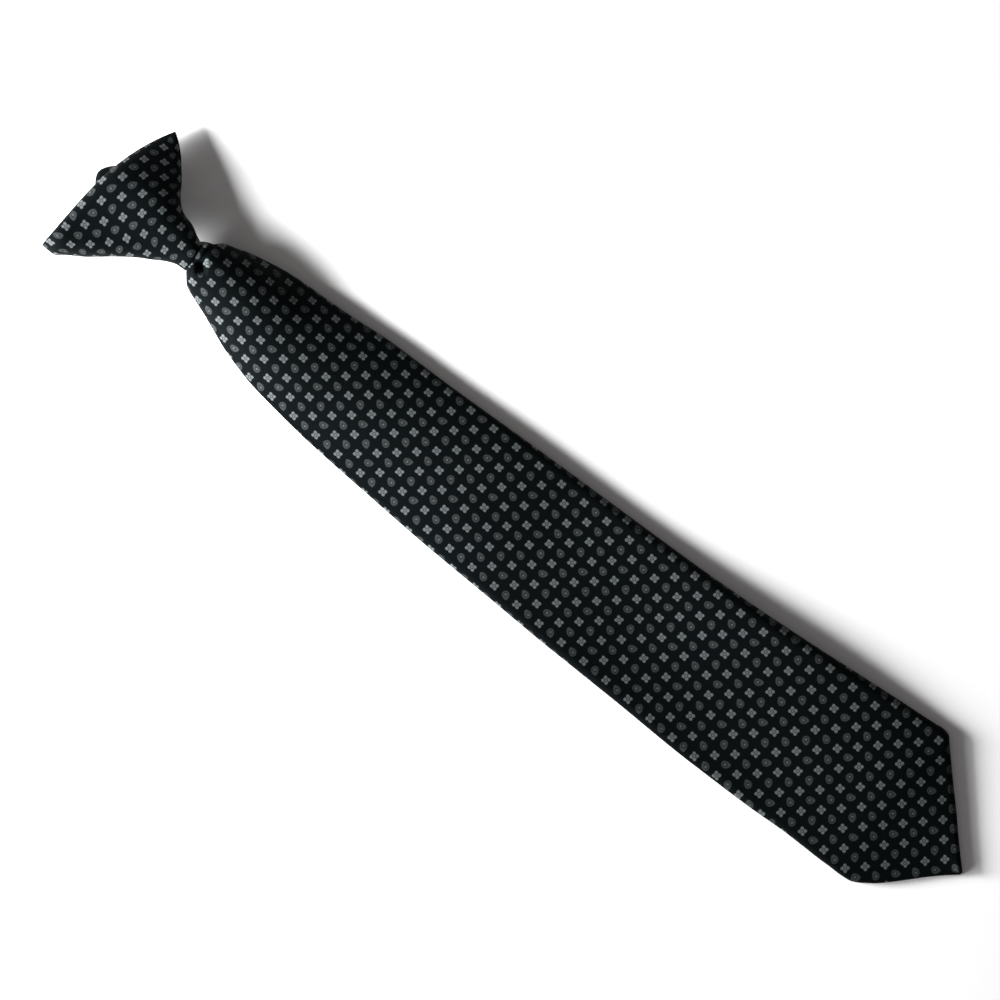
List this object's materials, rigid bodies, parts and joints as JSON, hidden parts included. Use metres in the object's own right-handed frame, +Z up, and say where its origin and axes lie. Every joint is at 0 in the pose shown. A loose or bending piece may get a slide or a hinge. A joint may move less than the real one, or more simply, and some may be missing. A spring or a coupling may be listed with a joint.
{
  "type": "clip-on tie",
  "caption": "Ready-tied clip-on necktie lying face up: a wide folded cloth blade with a point, a slanted wrapped knot and a bent metal clip behind it.",
  "frame": {"origin": "below the middle of the tie's bounding box, on the surface that it lies on", "axes": "+Z up out of the tie's face, +Y along the tie from its tip to the knot, +X across it, to the viewer's right when the tie hangs"},
  "size_m": [0.0812, 0.4854, 0.0239],
  "materials": {
    "blade": "soft woven cloth, near black with small grey quatrefoils and paisleys in a bias lattice",
    "knot": "the same patterned cloth, wrapped",
    "inner_fold": "the same patterned cloth, folded",
    "clip": "plain nickel-plated strip, satin"
  },
  "bodies": {
    "root": {"blade": "blade", "knot": "knot", "inner_fold": "inner_fold", "clip": "clip"}
  },
  "joints": []
}
